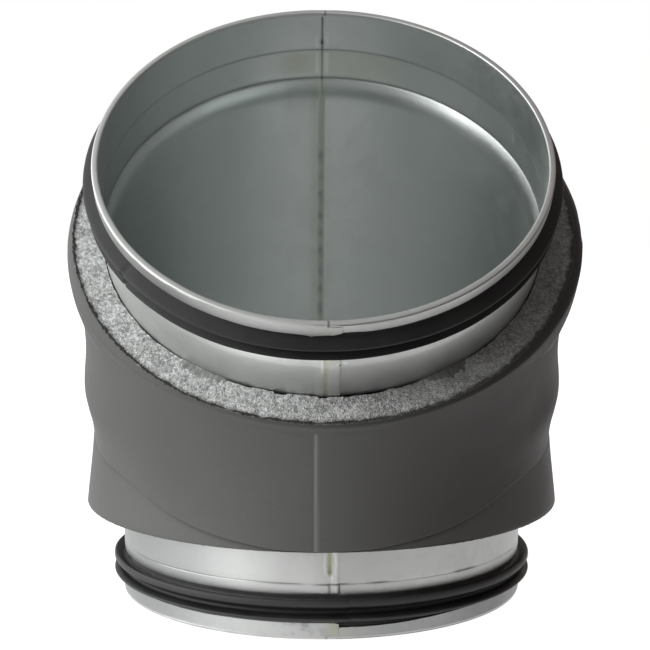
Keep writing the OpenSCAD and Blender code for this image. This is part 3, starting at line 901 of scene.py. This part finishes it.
def fnode(kind, a, b=None, **values):
    n = ft.nodes.new(kind)
    for k, v in values.items():
        setattr(n, k, v)
    for k, v in enumerate((a, b)):
        if v is None:
            continue
        if isinstance(v, (int, float, tuple)):
            n.inputs[k].default_value = v
        else:
            ft.links.new(v, n.inputs[k])
    return n


def fmap(source, x0, x1, y0, y1):
    n = fnode("ShaderNodeMapRange", source, interpolation_type="SMOOTHSTEP")
    for k, v in zip(("From Min", "From Max", "To Min", "To Max"), (x0, x1, y0, y1)):
        n.inputs[k].default_value = v
    return n.outputs["Result"]


where = ft.nodes.new("ShaderNodeTexCoord").outputs["Object"]
parts = fnode("ShaderNodeSeparateXYZ", where).outputs
away = fnode("ShaderNodeVectorMath", where, operation="LENGTH").outputs["Value"]
back = fnode("ShaderNodeMath", parts["Y"], 0.30, operation="MULTIPLY").outputs[0]
to_right = fnode("ShaderNodeMath", parts["X"], back, operation="SUBTRACT").outputs[0]
to_left = fnode("ShaderNodeMath", fnode("ShaderNodeMath", parts["X"], back, operation="ADD").outputs[0], -1.0, operation="MULTIPLY").outputs[0]
fade = fnode("ShaderNodeMath", fmap(parts["Y"], -0.26, -0.11, 1, 0), fmap(to_right, 0.165, 0.30, 0, 1), operation="MAXIMUM").outputs[0]
fade = fnode("ShaderNodeMath", fade, fmap(to_left, 0.135, 0.22, 0, 0.85), operation="MAXIMUM").outputs[0]
# a patch in front at the left that glows brighter, whose reflection gives the lower collar its highlight
ahead = fnode("ShaderNodeVectorMath", where, (-0.095, -0.185, 0.0), operation="DISTANCE").outputs["Value"]
patch = fmap(ahead, 0.015, 0.085, 0.75, 0.0)
glow = fnode("ShaderNodeMath", fmap(fade, 0, 1, 0.96, 0.22), fmap(away, 0.0778, 0.0790, 0.53, 1.0), operation="MULTIPLY").outputs[0]
glow = fnode("ShaderNodeMath", glow, patch, operation="ADD").outputs[0]
ft.links.new(glow, fb.inputs["Emission Strength"])
floor_mesh.materials.append(fm)

world = bpy.data.worlds.new("studio")
bpy.context.scene.world = world
world.use_nodes = True
wt = world.node_tree
wt.nodes.clear()
out = wt.nodes.new("ShaderNodeOutputWorld")
pale = wt.nodes.new("ShaderNodeBackground")
pale.inputs["Color"].default_value = (1, 1, 1, 1)
pale.inputs["Strength"].default_value = 1.0
sky = wt.nodes.new("ShaderNodeBackground")
path = wt.nodes.new("ShaderNodeLightPath")
mixer = wt.nodes.new("ShaderNodeMixShader")
coord = wt.nodes.new("ShaderNodeTexCoord")
split = wt.nodes.new("ShaderNodeSeparateXYZ")
wt.links.new(coord.outputs["Generated"], split.inputs[0])


def wmap(source, x0, x1, y0, y1):
    n = wt.nodes.new("ShaderNodeMapRange")
    n.interpolation_type = "SMOOTHSTEP"
    for k, v in zip(("From Min", "From Max", "To Min", "To Max"), (x0, x1, y0, y1)):
        n.inputs[k].default_value = v
    wt.links.new(source, n.inputs["Value"])
    return n.outputs["Result"]


def wmath(op, a, b):
    n = wt.nodes.new("ShaderNodeMath")
    n.operation = op
    for k, v in enumerate((a, b)):
        if isinstance(v, (int, float)):
            n.inputs[k].default_value = v
        else:
            wt.links.new(v, n.inputs[k])
    return n.outputs[0]


# one very large soft light at the left, white paper behind, and little from the right and the front
key = wt.nodes.new("ShaderNodeVectorMath")
key.operation = "DOT_PRODUCT"
wt.links.new(coord.outputs["Generated"], key.inputs[0])
key.inputs[1].default_value = Vector((-0.92, -0.17, 0.34)).normalized()
lobe = wmath("MULTIPLY", wmath("POWER", wmath("MAXIMUM", key.outputs["Value"], 0.0), 3.0), 4.3)
paper = wmap(split.outputs["Y"], 0.25, 0.95, 0.07, 0.75)
light = wmath("ADD", wmath("ADD", lobe, paper), wmath("ADD", wmap(split.outputs["X"], 0.1, 0.8, 0.0, 0.13), wmap(split.outputs["Z"], 0.45, 1.0, 0.0, 0.25)))
wt.links.new(light, sky.inputs["Strength"])
tint = wt.nodes.new("ShaderNodeMix")
tint.data_type = "RGBA"
wt.links.new(wmap(split.outputs["X"], -0.1, 0.7, 0.0, 1.0), tint.inputs[0])
tint.inputs[6].default_value = (0.985, 1.0, 0.995, 1)
tint.inputs[7].default_value = (1.0, 0.82, 0.78, 1)
wt.links.new(tint.outputs[2], sky.inputs["Color"])
wt.links.new(path.outputs["Is Camera Ray"], mixer.inputs[0])
wt.links.new(sky.outputs[0], mixer.inputs[1])
wt.links.new(pale.outputs[0], mixer.inputs[2])
wt.links.new(mixer.outputs[0], out.inputs["Surface"])


def area(name, at, to, size, power, size_y=None):
    data = bpy.data.lights.new(name, "AREA")
    data.energy = power
    data.size = size
    if size_y:
        data.shape = "RECTANGLE"
        data.size_y = size_y
    o = bpy.data.objects.new(name, data)
    bpy.context.scene.collection.objects.link(o)
    o.location = at
    o.rotation_euler = (Vector(to) - Vector(at)).to_track_quat("-Z", "Y").to_euler()
    return o


area("softbox_left", (-1.40, -0.66, 0.32), (0, -0.1, 0.18), 0.95, 12.0)

cam_data = bpy.data.cameras.new("camera")
cam_data.sensor_width = 36.0
cam_data.sensor_fit = "HORIZONTAL"
cam_data.lens = 71.332
cam_data.clip_start, cam_data.clip_end = 0.01, 50
cam = bpy.data.objects.new("camera", cam_data)
bpy.context.scene.collection.objects.link(cam)
yaw, pitch, roll = math.radians(0.630), math.radians(-4.720), math.radians(0.097)
fwd = Vector((math.sin(yaw) * math.cos(pitch), math.cos(yaw) * math.cos(pitch), math.sin(pitch)))
right = Vector((math.cos(yaw), -math.sin(yaw), 0))
up = right.cross(fwd)
r2 = right * math.cos(roll) + up * math.sin(roll)
u2 = -right * math.sin(roll) + up * math.cos(roll)
m = Matrix((r2, u2, -fwd)).transposed().to_4x4()
m.translation = Vector((-0.004408, -0.518631, 0.146522))
cam.matrix_world = m
bpy.context.scene.camera = cam

scene = bpy.context.scene
scene.view_settings.view_transform = "Standard"
scene.view_settings.look = "None"
scene.view_settings.exposure = 0.0
